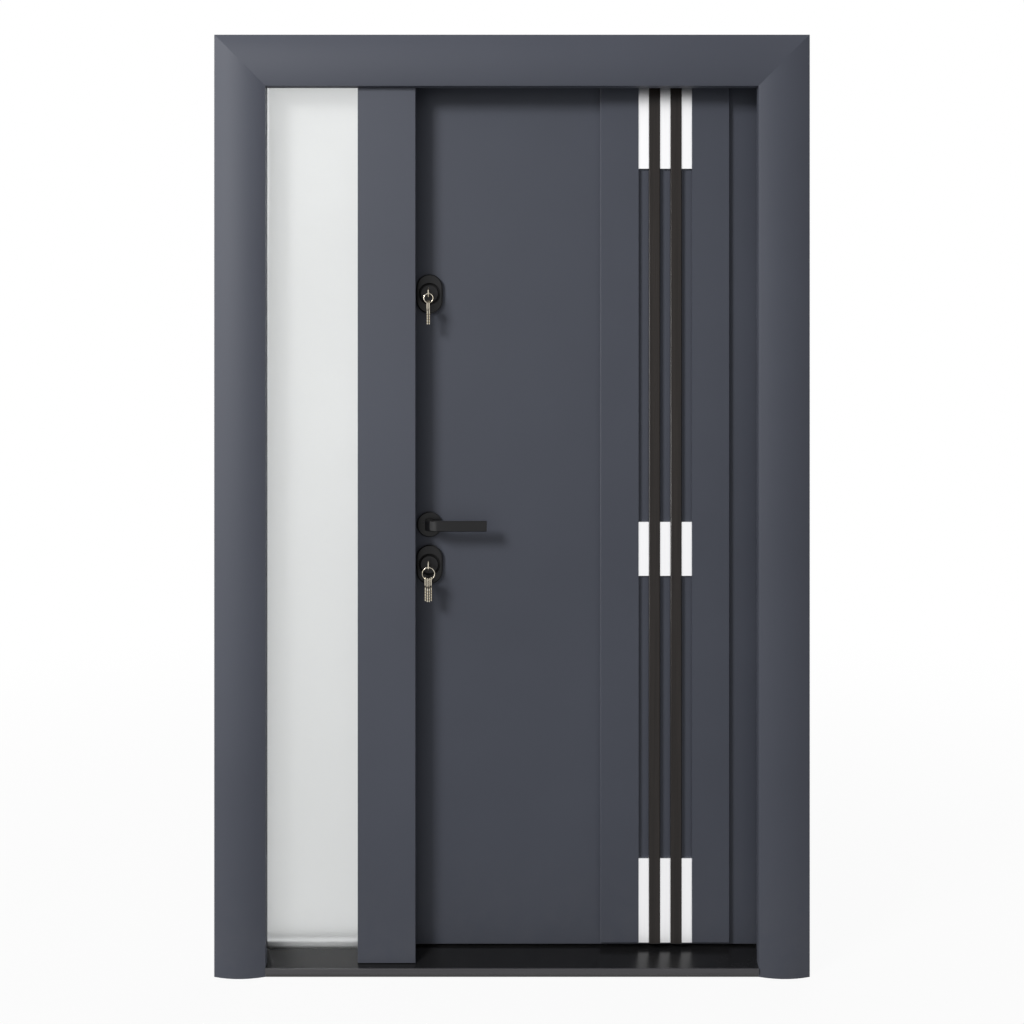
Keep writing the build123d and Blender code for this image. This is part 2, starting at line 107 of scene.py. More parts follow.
world = bpy.data.worlds.new("white_room")
world.use_nodes = True
bpy.context.scene.world = world
room = world.node_tree
room.nodes.clear()
room_strength = room.nodes.new("ShaderNodeMapRange")
room_strength.inputs["To Min"].default_value = room_light
room_strength.inputs["To Max"].default_value = 1.0
room_white = room.nodes.new("ShaderNodeBackground")
room_white.inputs["Color"].default_value = (1, 1, 1, 1)
room_out = room.nodes.new("ShaderNodeOutputWorld")
room.links.new(looked_at(room), room_strength.inputs["Value"])
room.links.new(room_strength.outputs[0], room_white.inputs["Strength"])
room.links.new(room_white.outputs[0], room_out.inputs["Surface"])
print("white room, light on the door", room_light)

# %% [markdown]
# The floor is two shaders in one: a matt one that takes the door's shadow, and a white one for what the
# camera and mirrors see. Near the door a little of the matt one shows, so the door stands on something;
# further out it fades, so that the floor meets the white room without a line.

# %% Pale floor
floor_half = 30.0
floor_grey = 0.5
shadow_reach = (0.4, 4.5)
white_share = (0.94, 1.0)

floor_mesh = bpy.data.meshes.new("floor")
corners = [(-1, -1), (1, -1), (1, 1), (-1, 1)]
floor_mesh.from_pydata([(x * floor_half, y * floor_half, 0) for x, y in corners], [], [(0, 1, 2, 3)])
floor = bpy.data.objects.new("floor", floor_mesh)
bpy.context.scene.collection.objects.link(floor)

floor_paint = bpy.data.materials.new("floor_paint")
floor_paint.use_nodes = True
floor_mesh.materials.append(floor_paint)
floor_tree = floor_paint.node_tree
floor_tree.nodes.clear()
matt = floor_tree.nodes.new("ShaderNodeBsdfDiffuse")
matt.inputs["Color"].default_value = (floor_grey, floor_grey, floor_grey, 1)
glow = floor_tree.nodes.new("ShaderNodeEmission")
blend = floor_tree.nodes.new("ShaderNodeMixShader")
floor_out = floor_tree.nodes.new("ShaderNodeOutputMaterial")
print("floor", 2 * floor_half, "m wide")

# %% [markdown]
# How white the floor looks is the share of the glow: the test for rays that look, times a smooth step in
# the distance from the door.

# %% Floor fade
floor_place = floor_tree.nodes.new("ShaderNodeTexCoord")
from_door = floor_tree.nodes.new("ShaderNodeVectorMath")
from_door.operation = "LENGTH"
fade = floor_tree.nodes.new("ShaderNodeMapRange")
fade.interpolation_type = "SMOOTHSTEP"
fade.inputs["From Min"].default_value, fade.inputs["From Max"].default_value = shadow_reach
fade.inputs["To Min"].default_value, fade.inputs["To Max"].default_value = white_share
glow_share = floor_tree.nodes.new("ShaderNodeMath")
glow_share.operation = "MULTIPLY"
floor_tree.links.new(floor_place.outputs["Object"], from_door.inputs[0])
floor_tree.links.new(from_door.outputs["Value"], fade.inputs["Value"])
floor_tree.links.new(looked_at(floor_tree), glow_share.inputs[0])
floor_tree.links.new(fade.outputs["Result"], glow_share.inputs[1])
floor_tree.links.new(glow_share.outputs[0], blend.inputs["Fac"])
floor_tree.links.new(matt.outputs[0], blend.inputs[1])
floor_tree.links.new(glow.outputs[0], blend.inputs[2])
floor_tree.links.new(blend.outputs[0], floor_out.inputs["Surface"])
print("floor fades between", shadow_reach, "m")

# %% [markdown]
# One large lamp would light the door evenly but leave it flat, so there are four. The key lamp, high on the
# left, gives the shadows that the head and the mullion throw into the recess, and the back lamp shines
# through the pane. The other two show in reflections only: a soft box beside the camera puts a sheen on the
# rounded architraves and the lever's bend, and a tall strip far to the left draws a thin bright line along
# the edges that face it.

# %% Lamps


def soft_lamp(name, towards, direction, distance, width, height, power):
    """A soft box that hangs off along a direction and faces the point."""
    lamp = bpy.data.objects.new(name, bpy.data.lights.new(name, "AREA"))
    lamp.data.shape = "RECTANGLE"
    lamp.data.size = width
    lamp.data.size_y = height
    lamp.data.energy = power
    along = Vector(direction).normalized()
    lamp.location = Vector(towards) + along * distance
    lamp.rotation_euler = along.to_track_quat("Z", "Y").to_euler()
    bpy.context.scene.collection.objects.link(lamp)
    return lamp


door_middle = (0, 0, 1.15)
soft_lamp("key_lamp", door_middle, direction=(-0.57, -0.64, 0.46), distance=6.0,
          width=1.6, height=1.6, power=292)
soft_lamp("back_lamp", (0, 0.1, 1.05), direction=(0.4, 0.8, 0.45), distance=5.0,
          width=2.5, height=2.5, power=110)
sheen_lamp = soft_lamp("sheen_lamp", door_middle, direction=(-0.61, -0.78, 0.12), distance=3.4,
                       width=2.0, height=2.0, power=36)
edge_lamp = soft_lamp("edge_lamp", (0.3, 0, 1.0), direction=(-0.97, -0.17, 0), distance=6.0,
                      width=0.6, height=3.2, power=150)
for lamp in (sheen_lamp, edge_lamp):
    lamp.visible_diffuse = False
    lamp.visible_transmission = False

# %% [markdown]
# ## Shared effects
# Three effects turn up in several finishes, so each is one shader group. Painted pictures could carry them,
# but they blur close by and stretch at corners; noise in object coordinates, which here are metres of the
# real door, stays sharp and keeps its true size on every piece. A few helpers keep the wiring short.

# %% Helpers for groups


def effect_group(name, inputs, outputs):
    """An empty shader group with named sockets; returns its tree and its two end nodes."""
    group = bpy.data.node_groups.new(name, "ShaderNodeTree")
    kinds = {"colour": "NodeSocketColor", "value": "NodeSocketFloat", "vector": "NodeSocketVector"}
    for title, kind, start in inputs:
        socket = group.interface.new_socket(title, in_out="INPUT", socket_type=kinds[kind])
        socket.default_value = start
    for title, kind in outputs:
        group.interface.new_socket(title, in_out="OUTPUT", socket_type=kinds[kind])
    return group, group.nodes.new("NodeGroupInput"), group.nodes.new("NodeGroupOutput")


def feed(tree, value, socket):
    """Link a socket to another, or set it where the value is a plain number or colour."""
    if isinstance(value, bpy.types.NodeSocket):
        tree.links.new(value, socket)
    else:
        socket.default_value = value


def noise(group, vector, scale, detail, roughness=0.5):
    """A noise texture on a vector."""
    texture = group.nodes.new("ShaderNodeTexNoise")
    texture.inputs["Detail"].default_value = detail
    texture.inputs["Roughness"].default_value = roughness
    feed(group, vector, texture.inputs["Vector"])
    feed(group, scale, texture.inputs["Scale"])
    return texture.outputs["Fac"]


# %% [markdown]
# Noise hangs about the middle of its range, so it has to be stretched before it can mix two colours. Sums
# and mixes take sockets or plain numbers alike.

# %% Helpers for ranges, sums and mixes


def remap(group, value, source, target):
    """Stretch a value from one range, a pair of numbers, to another, a pair of numbers or sockets."""
    ranged = group.nodes.new("ShaderNodeMapRange")
    feed(group, value, ranged.inputs["Value"])
    for title, end in zip(("From Min", "From Max", "To Min", "To Max"), (*source, *target)):
        feed(group, end, ranged.inputs[title])
    return ranged.outputs["Result"]


def calculate(group, operation, *values):
    """One math node on two or three values."""
    node = group.nodes.new("ShaderNodeMath")
    node.operation = operation
    for socket, value in zip(node.inputs, values):
        feed(group, value, socket)
    return node.outputs[0]


def mix_colours(group, share, first, second):
    """Mix two colours by a share."""
    node = group.nodes.new("ShaderNodeMix")
    node.data_type = "RGBA"
    feed(group, share, node.inputs["Factor"])
    for title, colour in (("A", first), ("B", second)):
        feed(group, colour, next(s for s in node.inputs if s.name == title and s.type == "RGBA"))
    return next(s for s in node.outputs if s.type == "RGBA")


# %% [markdown]
# ### Powder coat
# The door is sprayed with dry powder and baked. Such a coat is never quite even: it drifts slowly in colour
# from place to place and has a fine skin like orange peel. One slow noise gives the drift and one fine noise
# the peel; a third of the peel is added to the drift, so that colour and gloss move together.

# %% Powder coat group
peel_share = 0.35
speckle_range = (0.42, 0.92)
coat, coat_in, coat_out = effect_group(
    "powder_coat",
    [
        ("Dark", "colour", (0.05, 0.05, 0.05, 1)),
        ("Light", "colour", (0.1, 0.1, 0.1, 1)),
        ("Fineness", "value", 900.0),
        ("Smoothest", "value", 0.35),
        ("Roughest", "value", 0.5),
    ],
    [("Colour", "colour"), ("Roughness", "value"), ("Height", "value")],
)
coat_place = coat.nodes.new("ShaderNodeTexCoord").outputs["Object"]
drift = noise(coat, coat_place, scale=1.7, detail=3.0, roughness=0.55)
peel = noise(coat, coat_place, scale=coat_in.outputs["Fineness"], detail=2.0)
speckle = calculate(coat, "MULTIPLY_ADD", peel, peel_share, drift)
coat_share = remap(coat, speckle, speckle_range, (0.0, 1.0))
coat_colour = mix_colours(coat, coat_share, coat_in.outputs["Dark"], coat_in.outputs["Light"])
coat_gloss = (coat_in.outputs["Smoothest"], coat_in.outputs["Roughest"])
feed(coat, coat_colour, coat_out.inputs["Colour"])
feed(coat, remap(coat, speckle, speckle_range, coat_gloss), coat_out.inputs["Roughness"])
feed(coat, peel, coat_out.inputs["Height"])
print("powder coat:", len(coat.nodes), "nodes")

# %% [markdown]
# ### Drawn lines
# Brushed steel and timber look alike in one way: both run in long lines. Squeezing the coordinates along
# one axis turns round noise into streaks, so one group serves both, with its own stretch for each.

# %% Drawn lines group
broad_share = 0.13
line_range = (0.35, 0.65)
lines, lines_in, lines_out = effect_group(
    "drawn_lines",
    [
        ("Dark", "colour", (0.05, 0.05, 0.05, 1)),
        ("Light", "colour", (0.1, 0.1, 0.1, 1)),
        ("Stretch", "vector", (1.0, 1.0, 0.02)),
        ("Fineness", "value", 400.0),
        ("Smoothest", "value", 0.3),
        ("Roughest", "value", 0.5),
    ],
    [("Colour", "colour"), ("Roughness", "value"), ("Height", "value")],
)
lines_place = lines.nodes.new("ShaderNodeTexCoord").outputs["Object"]
drawn = lines.nodes.new("ShaderNodeVectorMath")
drawn.operation = "MULTIPLY"
feed(lines, lines_place, drawn.inputs[0])
feed(lines, lines_in.outputs["Stretch"], drawn.inputs[1])
fineness = lines_in.outputs["Fineness"]
broadness = calculate(lines, "MULTIPLY", fineness, broad_share)
fine_line = noise(lines, drawn.outputs[0], scale=fineness, detail=3.0, roughness=0.6)
broad_line = noise(lines, drawn.outputs[0], scale=broadness, detail=2.0)
line_mix = calculate(lines, "MULTIPLY", calculate(lines, "ADD", fine_line, broad_line), 0.5)
line_share = remap(lines, line_mix, line_range, (0.0, 1.0))
line_colour = mix_colours(lines, line_share, lines_in.outputs["Dark"], lines_in.outputs["Light"])
line_gloss = (lines_in.outputs["Roughest"], lines_in.outputs["Smoothest"])
feed(lines, line_colour, lines_out.inputs["Colour"])
feed(lines, remap(lines, line_mix, line_range, line_gloss), lines_out.inputs["Roughness"])
feed(lines, line_mix, lines_out.inputs["Height"])
print("drawn lines:", len(lines.nodes), "nodes")

# %% [markdown]
# ### Settled dust
# Dust lies on ledges and creeps up from the floor. It could be painted on by hand, but that has to be done
# again whenever a shape changes. Here the places are found: ledges from the upward part of the normal, the
# creep from the height. The larger of the two says where, and a noise breaks it into patches.

# %% Settled dust group
ledge_range = (0.55, 0.95)
creep_share = 0.35
patch_range = (0.35, 0.7)
patch_cover = (0.15, 1.0)
dust_roughening = 0.5
dust, dust_in, dust_out = effect_group(
    "settled_dust",
    [
        ("Colour", "colour", (0.1, 0.1, 0.1, 1)),
        ("Roughness", "value", 0.4),
        ("Dust", "colour", (0.20, 0.19, 0.175, 1)),
        ("Amount", "value", 0.3),
        ("Floor Reach", "value", 0.35),
    ],
    [("Colour", "colour"), ("Roughness", "value")],
)
dust_place = dust.nodes.new("ShaderNodeTexCoord").outputs["Object"]
upward = dust.nodes.new("ShaderNodeSeparateXYZ")
feed(dust, dust.nodes.new("ShaderNodeNewGeometry").outputs["Normal"], upward.inputs[0])
above_floor = dust.nodes.new("ShaderNodeSeparateXYZ")
feed(dust, dust_place, above_floor.inputs[0])
ledge = remap(dust, upward.outputs["Z"], ledge_range, (0.0, 1.0))
reached = calculate(dust, "DIVIDE", above_floor.outputs["Z"], dust_in.outputs["Floor Reach"])
near_floor = calculate(dust, "MAXIMUM", calculate(dust, "SUBTRACT", 1.0, reached), 0.0)
where = calculate(dust, "MAXIMUM", ledge, calculate(dust, "MULTIPLY", near_floor, creep_share))
blotches = noise(dust, dust_place, scale=24.0, detail=5.0, roughness=0.65)
patches = remap(dust, blotches, patch_range, patch_cover)
cover = calculate(dust, "MULTIPLY", calculate(dust, "MULTIPLY", where, patches), dust_in.outputs["Amount"])
dusted = mix_colours(dust, cover, dust_in.outputs["Colour"], dust_in.outputs["Dust"])
dulled = calculate(dust, "MULTIPLY_ADD", cover, dust_roughening, dust_in.outputs["Roughness"])
feed(dust, dusted, dust_out.inputs["Colour"])
feed(dust, dulled, dust_out.inputs["Roughness"])
print("effects:", [g.name for g in bpy.data.node_groups])

# %% [markdown]
# ## Finishes
# Each finish is a material of its own with one Principled shader, fed by the groups with its own numbers.
# One big material with masks could paint the whole door, but twelve small ones are easier to read, and each
# is named as the record names its slot. What is the same all over, such as how metallic a thing is, is set
# straight on the shader.

# %% Helpers for finishes


def new_finish(name, metallic=0.0, specular=0.5):
    """A material with one Principled shader; returns the material, its tree and the shader."""
    material = bpy.data.materials.new(name)
    material.use_nodes = True
    shader = material.node_tree.nodes["Principled BSDF"]
    shader.inputs["Metallic"].default_value = metallic
    shader.inputs["Specular IOR Level"].default_value = specular
    return material, material.node_tree, shader


def place_effect(tree, group, **values):
    """Put a group in a material and set its named inputs."""
    node = tree.nodes.new("ShaderNodeGroup")
    node.node_tree = group
    for title, value in values.items():
        node.inputs[title.replace("_", " ")].default_value = value
    return node


def raise_skin(tree, shader, height, strength, depth):
    """Feed a height through Bump into the shader's normal; depth is in metres."""
    bump = tree.nodes.new("ShaderNodeBump")
    bump.inputs["Strength"].default_value = strength
    bump.inputs["Distance"].default_value = depth
    tree.links.new(height, bump.inputs["Height"])
    tree.links.new(bump.outputs[0], shader.inputs["Normal"])


finishes = {}

# %% [markdown]
# ### Paint, black fittings and rubber
# The frame and the leaf are a blue-grey powder coat, the leaf a shade darker, and the hinges a smoother coat
# of much the same colour. The lever and plates are black, the threshold a glossier black, and the rubber a
# dull one with a strong skin. Each could have a material of its own from scratch, but they are one recipe,
# a coat under dust, so one function makes all six and only the numbers differ.

# %% Painted and black finishes
coat_depth = 0.0004
dust_floor_reach = 0.3


def coated(name, dark, light, gloss, fineness, skin, dusty, specular=0.5):
    """Powder coat under a little dust; gloss is the smoothest and the roughest it gets."""
    material, tree, shader = new_finish(name, specular=specular)
    paint = place_effect(tree, coat, Dark=(*dark, 1), Light=(*light, 1), Fineness=fineness)
    paint.inputs["Smoothest"].default_value, paint.inputs["Roughest"].default_value = gloss
    settled = place_effect(tree, dust, Amount=dusty, Floor_Reach=dust_floor_reach)
    for title in ("Colour", "Roughness"):
        tree.links.new(paint.outputs[title], settled.inputs[title])
    tree.links.new(settled.outputs["Colour"], shader.inputs["Base Color"])
    tree.links.new(settled.outputs["Roughness"], shader.inputs["Roughness"])
    raise_skin(tree, shader, paint.outputs["Height"], skin, coat_depth)
    finishes[name] = material


coated("frame_paint", dark=(0.053, 0.058, 0.076), light=(0.065, 0.071, 0.092), gloss=(0.52, 0.62),
       fineness=1400.0, skin=0.10, dusty=0.20, specular=0.28)
coated("leaf_paint", dark=(0.048, 0.053, 0.070), light=(0.060, 0.066, 0.086), gloss=(0.50, 0.62),
       fineness=1400.0, skin=0.10, dusty=0.20, specular=0.28)
coated("hinge_steel", dark=(0.050, 0.054, 0.066), light=(0.066, 0.071, 0.086), gloss=(0.34, 0.46),
       fineness=1600.0, skin=0.08, dusty=0.25)
coated("threshold_black", dark=(0.006, 0.006, 0.0065), light=(0.011, 0.011, 0.012), gloss=(0.20, 0.30),
       fineness=260.0, skin=0.03, dusty=0.015, specular=0.7)
coated("fitting_black", dark=(0.004, 0.004, 0.0045), light=(0.009, 0.009, 0.010), gloss=(0.26, 0.36),
       fineness=2200.0, skin=0.06, dusty=0.08, specular=0.26)
# seal_rubber is near black, as rubber is; on the rings in the plug grooves the same near black is painted
# shade
coated("seal_rubber", dark=(0.003, 0.003, 0.003), light=(0.006, 0.006, 0.006), gloss=(0.66, 0.80),
       fineness=1800.0, skin=0.25, dusty=0.12, specular=0.2)
print("coated:", list(finishes))

# %% [markdown]
# ### Steel, nickel and timber
# The inserts are brushed upright and mirror the white room. The nosing is brushed along its length, the keys
# are worn nickel, the screws and lock plates plain steel, and the slats are timber stained nearly black. All
# have a direction, so they share the drawn lines: the stretch says which way the lines run and how long they
# are. The timber and the nosing's grey coat aren't metallic.

# %% Metal and timber finishes
line_depth = 0.0005
upright = (1.0, 1.0, 0.02)
lengthwise = (0.02, 1.0, 1.0)
along_grain = (1.0, 1.0, 0.012)


def lined(name, dark, light, gloss, fineness, stretch, skin, metallic, specular=0.5):
    """Brushed metal or timber, with long lines one way; gloss as for a coat."""
    material, tree, shader = new_finish(name, metallic, specular)
    run = place_effect(tree, lines, Dark=(*dark, 1), Light=(*light, 1), Stretch=stretch, Fineness=fineness)
    run.inputs["Smoothest"].default_value, run.inputs["Roughest"].default_value = gloss
    tree.links.new(run.outputs["Colour"], shader.inputs["Base Color"])
    tree.links.new(run.outputs["Roughness"], shader.inputs["Roughness"])
    raise_skin(tree, shader, run.outputs["Height"], skin, line_depth)
    finishes[name] = material


lined("insert_steel", dark=(0.86, 0.86, 0.872), light=(0.90, 0.90, 0.91), gloss=(0.36, 0.44),
      fineness=1500.0, stretch=upright, skin=0.008, metallic=1.0)
lined("nosing_grey", dark=(0.040, 0.039, 0.043), light=(0.056, 0.055, 0.060), gloss=(0.32, 0.46),
      fineness=900.0, stretch=lengthwise, skin=0.08, metallic=0.0)
lined("key_nickel", dark=(0.34, 0.30, 0.23), light=(0.78, 0.72, 0.60), gloss=(0.14, 0.28),
      fineness=2600.0, stretch=upright, skin=0.06, metallic=1.0)
lined("lock_steel", dark=(0.46, 0.46, 0.47), light=(0.62, 0.62, 0.63), gloss=(0.26, 0.40),
      fineness=1700.0, stretch=upright, skin=0.06, metallic=1.0)
lined("slat_wood", dark=(0.0100, 0.0078, 0.0068), light=(0.0235, 0.0190, 0.0168), gloss=(0.26, 0.38),
      fineness=700.0, stretch=along_grain, skin=0.35, metallic=0.0, specular=0.25)
print("finishes so far:", len(finishes))

# %% [markdown]
# ### Frosted glass
# The pane is satin-etched: light comes through from the white room behind, blurred by its skin. A plain pale
# grey would look right from the front alone, so this is real transmission with a high roughness. A small
# part of the light is scattered at the skin in place of going through, which keeps what lies close behind
# the pane from showing. The powder coat group, with pale colours, gives the etching its slight unevenness.

# %% Frosted glass
let_through = 0.92
glass_index = 1.5
etching_skin = 0.06
etching_depth = 0.0003

glass, glass_tree, glass_shader = new_finish("frosted_glass")
glass_shader.inputs["Transmission Weight"].default_value = let_through
glass_shader.inputs["IOR"].default_value = glass_index
etched = place_effect(
    glass_tree,
    coat,
    Dark=(0.728, 0.741, 0.738, 1),
    Light=(0.768, 0.781, 0.778, 1),
    Fineness=1900.0,
    Smoothest=0.42,
    Roughest=0.58,
)
glass_tree.links.new(etched.outputs["Colour"], glass_shader.inputs["Base Color"])
glass_tree.links.new(etched.outputs["Roughness"], glass_shader.inputs["Roughness"])
raise_skin(glass_tree, glass_shader, etched.outputs["Height"], etching_skin, etching_depth)
finishes["frosted_glass"] = glass
print("finishes:", sorted(finishes))

# %% [markdown]
# ### Dressing the solids
# The solids keep their shapes; they only change clothes. The record says which slot each node belongs to and
# the finishes carry the same names, so one loop dresses the whole door and no piece can be forgotten.

# %% Dress the solid nodes
for name, node in nodes.items():
    node.data.materials.clear()
    node.data.materials.append(finishes[slot_of[name]])
print("dressed", len(nodes), "nodes")

# %% [markdown]
# ## Small fittings
# Screws, hinge caps, split rings and rubber lips are left out of the solid model, but a door without them
# looks unfinished from close by. Each group becomes one mesh, built with bmesh and placed from the box of
# the node that carries it, so nothing is fitted by eye. Edges that bend only a little are shaded smooth, and
# sharper ones stay crisp.

# %% Helper for pieces
crisp_edge = math.radians(38)


def add_piece(name, build, body, slot):
    """Run a bmesh builder and make its result a piece that rides on a body."""
    shape = bmesh.new()
    build(shape)
    bmesh.ops.recalc_face_normals(shape, faces=shape.faces)
    mesh = bpy.data.meshes.new(name)
    shape.to_mesh(mesh)
    shape.free()
    mesh.shade_smooth()
    mesh.set_sharp_from_angle(angle=crisp_edge)
    mesh.materials.append(finishes[slot])
    piece = bpy.data.objects.new(name, mesh)
    bpy.context.scene.collection.objects.link(piece)
    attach(piece, body)
    print(name, len(mesh.polygons), "faces on", body)
    return piece


# %% [markdown]
# Nearly every fitting is a section carried along a path. Two skins cover both cases: a path with two ends,
# which are closed flat, and a path that meets itself. Round things share a lathe, which is the first case
# with circles for sections.

# %% Skins and a lathe
lathe_sides = 24


def skin_rings(shape, rings):
    """Join rings of vertices into a closed tube with flat ends."""
    sides = len(rings[0])
    for lower, upper in zip(rings, rings[1:]):
        for side in range(sides):
            after = (side + 1) % sides
            shape.faces.new((lower[side], lower[after], upper[after], upper[side]))
    shape.faces.new(rings[0])
    shape.faces.new(rings[-1])


def skin_loop(shape, stations):
    """Join stations of vertices into a closed ring: the last station meets the first."""
    count = len(stations[0])
    for here, there in zip(stations, stations[1:] + stations[:1]):
        for step in range(count):
            after = (step + 1) % count
            shape.faces.new((here[step], here[after], there[after], there[step]))


def turned(shape, place, axis, profile, sides=lathe_sides):
    """Spin pairs of radius and height round an axis that starts at a place."""
    onto_axis = Vector(axis).to_track_quat("Z", "Y").to_matrix()
    angles = [2 * math.pi * side / sides for side in range(sides)]
    rings = []
    for radius, height in profile:
        spots = [Vector((radius * math.cos(a), radius * math.sin(a), height)) for a in angles]
        rings.append([shape.verts.new(Vector(place) + onto_axis @ spot) for spot in spots])
    skin_rings(shape, rings)
    return rings


# %% [markdown]
# ### Screws
# A countersunk screw shows a flat head with a cross pressed into it. A boolean could cut the cross, but it
# leaves untidy faces on so small a thing. Here the head is turned, then the points that lie on the four arms
# of the cross are pushed in, more of them towards the middle.

# %% Screw head
screw_proud = 0.0005
screw_sunk = 0.001
cross_depth = 0.0012
arm_pitch = lathe_sides // 4
arm_half_widths = {3: 0, 4: 1, 5: 3}  # for each ring of the head, in steps of the lathe


def screw(shape, place, axis, radius):
    """One countersunk head with a cross recess, just proud of the face it sits in."""
    head = [
        (radius, -screw_sunk),
        (radius, 0.0),
        (0.92 * radius, 0.6 * screw_proud),
        (0.62 * radius, screw_proud),
        (0.34 * radius, screw_proud),
        (0.14 * radius, screw_proud),
    ]
    rings = turned(shape, place, axis, head)
    for ring_number, half_width in arm_half_widths.items():
        for side, vertex in enumerate(rings[ring_number]):
            from_arm = min(side % arm_pitch, arm_pitch - side % arm_pitch)
            if from_arm <= half_width:
                vertex.co -= Vector(axis) * cross_depth


# %% [markdown]
# ### Hinges
# Each hinge has a plate on the frame and a plate on the leaf, held by three screws each. All the screws could
# be one mesh, but the halves move apart when the door opens, so what sits on the frame's half and what sits
# on the leaf's half are separate pieces that ride on separate bodies.

# %% Hinge screws
hinge_places = ("bottom", "middle", "top")
hinge_plate_thickness = 0.003
hinge_plate_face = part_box("right_jamb")[1].y + hinge_plate_thickness
hinge_screw_radius = 0.0038
plate_screw_inset = 0.009
plate_screw_heights = (0.011, 0.030, 0.049)


def hinge_screws(half):
    """A builder for the screws in the three plates on one half of the hinges."""

    def build(shape):
        for place in hinge_places:
            low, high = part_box(f"hinge_{place}_{half}_half")
            x = high.x - plate_screw_inset if half == "frame" else low.x + plate_screw_inset
            for height in plate_screw_heights:
                screw(shape, (x, hinge_plate_face, low.z + height), (0, 1, 0), hinge_screw_radius)

    return build


add_piece("frame_hinge_screws", hinge_screws("frame"), "frame", "lock_steel")
add_piece("leaf_hinge_screws", hinge_screws("leaf"), "leaf", "lock_steel")

# %% [markdown]
# The caps close the knuckle above and below. A plain disc would do from afar, but a cap has a narrow neck and
# a domed end that catches the light, so its outline is a list of radius and height for the lathe. Below, the
# axis points down and the same outline serves.

# %% Hinge caps
hinge_radius = 0.010
cap_sides = 40
cap_profile = [
    (0.0097, 0.0),
    (0.0097, 0.0012),
    (0.0084, 0.0017),
    (0.0084, 0.0026),
    (0.0096, 0.0032),
    (0.0090, 0.0050),
    (0.0068, 0.0067),
    (0.0036, 0.0077),
    (0.0010, 0.0079),
]


def frame_hinge_caps(shape):
    """Caps below the frame's knuckles."""
    for place in hinge_places:
        low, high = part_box(f"hinge_{place}_frame_half")
        knuckle = (low.x + hinge_radius, high.y - hinge_radius, low.z)
        turned(shape, knuckle, (0, 0, -1), cap_profile, cap_sides)


def leaf_hinge_caps(shape):
    """Caps on top of the leaf's knuckles."""
    for place in hinge_places:
        low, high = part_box(f"hinge_{place}_leaf_half")
        knuckle = (high.x - hinge_radius, high.y - hinge_radius, high.z)
        turned(shape, knuckle, (0, 0, 1), cap_profile, cap_sides)


add_piece("frame_hinge_caps", frame_hinge_caps, "frame", "hinge_steel")
add_piece("leaf_hinge_caps", leaf_hinge_caps, "leaf", "hinge_steel")

# %% [markdown]
# ### Screws of the lock edge
# The lock's faceplate and the strike plate across from it are each held by three screws, at both ends and in
# the middle. They face each other, so one builder serves both, with the face and the way it looks given.

# %% Screws of the lock edge
plate_end_inset = 0.014
plate_screw_radius = 0.0042


def plate_screws(plate, face_x, axis):
    """A builder for three screws down the middle of an upright plate."""

    def build(shape):
        low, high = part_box(plate)
        for height in (low.z + plate_end_inset, (low.z + high.z) / 2, high.z - plate_end_inset):
            screw(shape, (face_x, (low.y + high.y) / 2, height), axis, plate_screw_radius)

    return build


lock_edge_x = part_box("leaf_case")[0].x
strike_face_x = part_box("strike_plate")[1].x
add_piece("faceplate_screws", plate_screws("lock_faceplate", lock_edge_x, (-1, 0, 0)), "leaf", "lock_steel")
add_piece("strike_screws", plate_screws("strike_plate", strike_face_x, (1, 0, 0)), "frame", "lock_steel")

# %% [markdown]
# ### Screws of the glazing bead
# The bead that holds the pane is screwed on from the inside, so that the glass can be changed. The screws
# run up both sides at even steps. An array modifier could repeat one screw, but a plain loop says the same
# and needs nothing applied.

# %% Screws of the glazing bead
bead_rows = 7
bead_screw_radius = 0.0032
bead_side_inset = 0.006
bead_end_inset = 0.12


def bead_screws(shape):
    """Two rows of screws, one up each side of the bead."""
    low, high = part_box("sidelight_bead")
    row_step = (high.z - low.z - 2 * bead_end_inset) / (bead_rows - 1)
    for side_x in (low.x + bead_side_inset, high.x - bead_side_inset):
        for row in range(bead_rows):
            height = low.z + bead_end_inset + row * row_step
            screw(shape, (side_x, high.y, height), (0, 1, 0), bead_screw_radius)


add_piece("bead_screws", bead_screws, "frame", "lock_steel")

# %% [markdown]
# ### Split rings
# A key ring is a flat wire wound twice, which changes lane once. A plain torus stands for it in the solids,
# and here it gets its real shape: one list of angles goes round two times, the lane is a smooth step in the
# middle of it, and a small rounded section is swept along.

# %% Split rings
ring_steps = 180
lane_change = math.radians(20)
ring_start = math.radians(215)
ring_end_gap = 1.2 * lane_change
wire_share = (0.94, 0.44)  # the section's reach outward and sideways, as shares of the round wire's radius


def ring_builder(node):
    """A builder for the split ring that stands for a plain ring node."""
    low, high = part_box(node)
    middle = (low + high) / 2
    half_wire = (high.y - low.y) / 2
    wire_radius = (high.z - low.z) / 2 - half_wire
    reach, side_reach = (share * half_wire for share in wire_share)
    section = [
        (-reach, -0.5 * side_reach),
        (-0.7 * reach, -side_reach),
        (0.7 * reach, -side_reach),
        (reach, -0.5 * side_reach),
        (reach, 0.5 * side_reach),
        (0.7 * reach, side_reach),
        (-0.7 * reach, side_reach),
        (-reach, 0.5 * side_reach),
    ]

    def build(shape):
        rings = []
        first, last = ring_end_gap, 4 * math.pi - ring_end_gap
        for step in range(ring_steps + 1):
            angle = first + (last - first) * step / ring_steps
            part = min(max((angle - 2 * math.pi) / (2 * lane_change) + 0.5, 0.0), 1.0)
            lane = half_wire * (part * part * (3 - 2 * part) - 0.5)
            outward = Vector((math.cos(angle + ring_start), 0, math.sin(angle + ring_start)))
            rings.append([
                shape.verts.new(middle + outward * (wire_radius + far) + Vector((0, lane + side, 0)))
                for far, side in section
            ])
        skin_rings(shape, rings)

    return build


